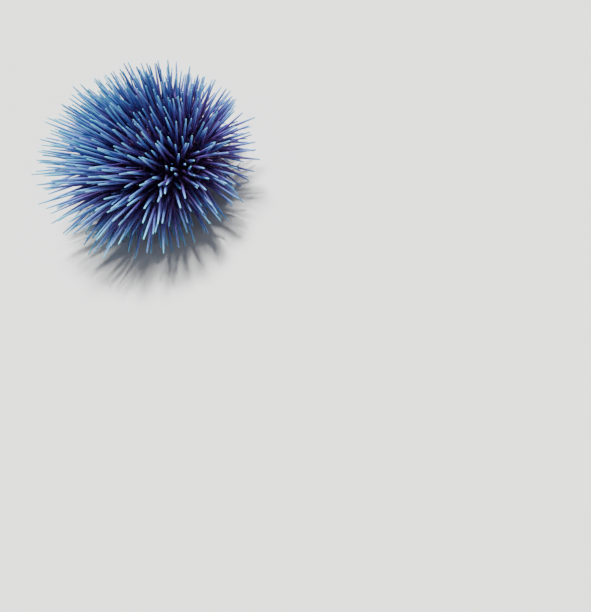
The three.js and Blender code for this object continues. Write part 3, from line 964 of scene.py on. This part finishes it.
def turned(name, profile, columns, material, rise=None):
    """A surface turned about the axis from [radius, height] pairs, closed on itself.

    rise gives what to add to the height at a radius and an azimuth.
    """
    profile = np.array(profile, float)
    rings = len(profile)
    azimuths = np.linspace(0, 2 * math.pi, columns, endpoint=False)
    r = np.tile(profile[:, 0][:, None], (1, columns))
    z = np.tile(profile[:, 1][:, None], (1, columns))
    if rise is not None:
        z = z + rise(r, azimuths)
    points = np.stack([r * np.cos(azimuths), r * np.sin(azimuths), z], -1).reshape(-1, 3)
    k, i = np.meshgrid(np.arange(rings), np.arange(columns), indexing="ij")
    k, i = k.ravel(), i.ravel()
    j = (i + 1) % columns
    n = (k + 1) % rings
    this, following = k * columns, n * columns
    quads = np.stack([this + i, this + j, following + j, following + i], 1)
    u = np.stack([i, i + 1, i + 1, i], 1) / columns
    v = np.stack([k, k, k + 1, k + 1], 1) / rings
    return piece_from(name, points, [quads], [np.stack([u, v], -1)], {}, material)


def peristome_membrane(material):
    """The membrane from the edge of the test to the lip, and the lip round the mouth."""
    radius, width = LIP["radius"], LIP["width"]
    rings = [(MEMBRANE["edge"], MOUTH + MOUTH_DEPTH)]
    for share in np.linspace(0, 1, MEMBRANE["rings"]):
        r = MEMBRANE["edge"] - share * (PERISTOME_RADIUS - radius - LIP["overlap"])
        rings.append((r, MOUTH + MEMBRANE["height"] + MEMBRANE["slope"] * share))
    for share in np.linspace(0, 1, LIP["rings"]):
        angle = math.pi * share
        height = LIP["height"] - LIP["depth"] * math.sin(angle)
        rings.append((radius + width * math.cos(angle), MOUTH + height))
    rings.append((radius - width, MOUTH + MOUTH_DEPTH))
    piece = turned("peristome_membrane", rings, MEMBRANE["columns"], material, wrinkles)
    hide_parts("peristome")


def lantern_end(material):
    """The dark end of the lantern behind the teeth."""
    profile = [(radius, MOUTH + height) for radius, height in LANTERN_END]
    turned("lantern_end", profile, LANTERN_COLUMNS, material)


def lantern_teeth(material):
    """Five teeth, curved inwards, that meet at their tips."""
    steps = np.linspace(0, 1, TOOTH["rings"])
    reach = TOOTH["ring"] - TOOTH["reach"] * steps ** TOOTH["curve"]
    heights = MOUTH + TOOTH["height"] - TOOTH["length"] * steps
    paths = []
    for i in range(RAYS):
        azimuth = radians(FIRST_RAY + (i + 0.5) * RAY_ANGLE)
        out = np.array([math.cos(azimuth), math.sin(azimuth), 0])
        paths.append(out * reach[:, None] + np.array([0, 0, 1]) * heights[:, None])
    radii = np.tile(np.interp(steps, TOOTH_SHARES, TOOTH_RADII), (RAYS, 1))
    piece = tubes(
        "lantern_teeth", np.array(paths), radii, TOOTH_SIDES, grid_patches(RAYS, RAYS), np.zeros(RAYS),
        material, TOOTH_RIDGES, TOOTH_RIDGE_DEPTH,
    )
    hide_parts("teeth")


# The tube feet


def buccal_feet(rng, material):
    """Ten short thick tube feet with broad discs, in pairs round the mouth."""
    steps = np.linspace(0, 1, FOOT_RINGS)
    ring, root = BUCCAL["ring"], BUCCAL["root"]
    paths = []
    for ray in range(RAYS):
        for side in (-1, 1):
            azimuth = radians(FIRST_RAY + ray * RAY_ANGLE + side * BUCCAL["turn"])
            foot = [ring * math.cos(azimuth), ring * math.sin(azimuth), MOUTH + root]
            sway = rng.uniform(-BUCCAL["sway"], BUCCAL["sway"], 2) * steps[:, None] ** 2
            fall = -(root + BUCCAL["drop"] * rng.uniform(*BUCCAL_DROPS)) * steps
            paths.append(foot + np.column_stack([sway, fall]))
    count = len(paths)
    shape = BUCCAL["radius"] * np.interp(steps, BUCCAL_SHARES, BUCCAL_RADII)
    radii = shape * rng.uniform(*BUCCAL_SPREAD, count)[:, None]
    tubes(
        "buccal_feet", np.array(paths), radii, BUCCAL_SIDES, grid_patches(count, count),
        rng.uniform(0, 1, count), material, BUCCAL_RIDGES, BUCCAL_RIDGE_DEPTH,
    )


def bent_foot(rng, arc, azimuth):
    """The path of one tube foot, which sways, and stops where it would reach the floor."""
    steps = np.linspace(0, 1, FOOT_RINGS)
    roots, normals = on_skin(np.array([arc]), np.array([azimuth]))
    length = full_length(arc, azimuth) * rng.uniform(*FOOT_LENGTHS)
    axis = normals[0] + rng.uniform(-FOOT_JITTER, FOOT_JITTER, 3)
    axis /= np.linalg.norm(axis)
    sway = np.cross(axis, rng.uniform(-1, 1, 3))
    bend = np.sin(steps * math.pi * rng.uniform(*FOOT_HALF_WAVES)) * length * FOOT_SWAY
    path = roots[0] + axis * (steps * length)[:, None] + sway * bend[:, None]
    path[:, 2] = np.maximum(path[:, 2], FOOT_OVER_FLOOR)
    landed = np.maximum.accumulate(path[:, 2] <= FOOT_OVER_FLOOR + FLOOR_MARGIN)
    if landed.any():
        path = path[: max(LEAST_RINGS, int((~landed).sum()))]
        shares = np.linspace(0, 1, len(path))
        path = np.stack([np.interp(steps, shares, values) for values in path.T], 1)
    return path


def tube_feet(rng, material):
    """Slender tube feet with sucking discs, in two bands along each ambulacrum."""
    paths, tones = [], []
    for ray in range(RAYS):
        for side in (-1, 1):
            azimuth = radians(FIRST_RAY + ray * RAY_ANGLE + side * FOOT_ANGLE)
            for arc in np.arange(APICAL_ARC + FEET_FROM, PERISTOME_ARC - FEET_TO, FOOT_STEP):
                if rng.uniform() < FOOT_GAPS:
                    continue
                paths.append(bent_foot(rng, arc, azimuth))
                tones.append(rng.uniform())
    count = len(paths)
    radii = np.tile(np.interp(np.linspace(0, 1, FOOT_RINGS), FOOT_SHARES, FOOT_RADII), (count, 1))
    patches = grid_patches(count, math.ceil(math.sqrt(count)))
    tubes("tube_feet", np.array(paths), radii, FOOT_SIDES, patches, np.array(tones), material)


# The picture


def place_camera():
    """A camera whose line of sight through a pixel meets the middle of the test."""
    column = (TEST_MIDDLE_PIXEL[0] - PICTURE[0] / 2) / FOCAL_PIXELS
    row = (PICTURE[1] / 2 - TEST_MIDDLE_PIXEL[1]) / FOCAL_PIXELS
    sight = Vector((column, row, -1))
    middle = sight * (MM_PER_PIXEL * FOCAL_PIXELS)
    towards = -sight.normalized()
    turn = math.radians(AXIS_IN_PICTURE)
    across = Vector((math.cos(turn), math.sin(turn), 0))
    across = (across - towards * across.dot(towards)).normalized()
    tilt = math.radians(AXIS_FROM_SIGHT)
    axis = towards * math.cos(tilt) + across * math.sin(tilt)
    far = -(towards - axis * towards.dot(axis)).normalized()
    right = far.cross(axis)
    to_frame = Matrix((right, far, axis))
    place = Vector(AXIS) + Vector((0, 0, TEST_MIDDLE_HEIGHT)) - to_frame @ middle
    data = bpy.data.cameras.new("camera")
    data.sensor_fit = "VERTICAL"
    data.sensor_height = SENSOR
    data.sensor_width = SENSOR
    data.lens = FOCAL_PIXELS / PICTURE[1] * SENSOR
    data.clip_start = 0.01
    camera = bpy.data.objects.new("camera", data)
    camera.matrix_world = Matrix.Translation(place * MM) @ to_frame.to_4x4()
    bpy.context.scene.collection.objects.link(camera)
    bpy.context.scene.camera = camera
    return camera


def far_light(name, camera, direction, strength, softness):
    """A distant light. direction is steps right, up and towards the camera, softness in degrees."""
    data = bpy.data.lights.new(name, "SUN")
    data.energy = strength
    data.angle = math.radians(softness)
    light = bpy.data.objects.new(name, data)
    towards = camera.matrix_world.to_3x3() @ Vector(direction)
    light.rotation_euler = (-towards).to_track_quat("-Z", "Y").to_euler()
    bpy.context.scene.collection.objects.link(light)


def studio(camera):
    """Two lights, a pale world and a plain pale floor."""
    far_light("key", camera, KEY_DIRECTION, KEY_STRENGTH, KEY_SOFTNESS)
    far_light("fill", camera, FILL_DIRECTION, FILL_STRENGTH, FILL_SOFTNESS)
    world = bpy.data.worlds.new("studio")
    world.use_nodes = True
    background = world.node_tree.nodes["Background"]
    background.inputs["Color"].default_value = WORLD_COLOUR
    background.inputs["Strength"].default_value = WORLD_STRENGTH
    bpy.context.scene.world = world
    bpy.ops.mesh.primitive_plane_add(size=FLOOR_SIDE, location=(0, 0, 0))
    floor = bpy.context.object
    floor.name = "floor"
    finish = Finish("floor_pale", Roughness=0.85)
    finish.drive("Base Color", finish.mix(finish.noise(scale=3.0), *FLOOR_COLOURS))
    floor.data.materials.append(finish.material)


# The assembly

camera = place_camera()
studio(camera)

rng = np.random.default_rng(SEED)
longs = joined([spines_of(sector[0], rng) for sector in sector_list()])
apicals = spines_of("apical_disc", rng)
slenders = spines_between(rng, joined([longs, apicals]), SLENDER)
shorts = spines_between(rng, joined([longs, apicals, slenders]), SHORT)
every = joined([longs, slenders, shorts])
kinds = np.repeat([0, 1, 2], [len(longs), len(slenders), len(shorts)])
bend_clear(every, kinds == 0)
miliaries = miliary_spines(rng, joined([longs, slenders]), shorts)

spine_material = spine_finish()
for sector in sector_list():
    inside = np.abs(offset_in(sector, every.azimuths)) < radians(sector[2])
    for number, (start, kind) in enumerate(SPINE_KINDS):
        spine_piece(start + sector[0], every.part(inside & (kinds == number)), sector, kind, spine_material)
spine_piece("apical_spines", apicals, None, APICAL, spine_material)
spine_piece("miliary_spines", miliaries, None, MILIARY, spine_material)
test_skin(skin_finish(), joined([longs, slenders]), shorts)

membrane_material = plain_finish("membrane", (0.10, 0.035, 0.075), 0.42, IOR=1.42)
peristome_membrane(membrane_material)
lantern_teeth(plain_finish("tooth_enamel", (0.80, 0.77, 0.68), 0.3, variation=0.12))
lantern_end(membrane_material)

foot_material = plain_finish("tube_foot", (0.055, 0.012, 0.050), 0.4, IOR=1.4)
tube_feet(rng, foot_material)
buccal_feet(rng, foot_material)

print("long", len(longs), "slender", len(slenders), "short", len(shorts), "miliary", len(miliaries))
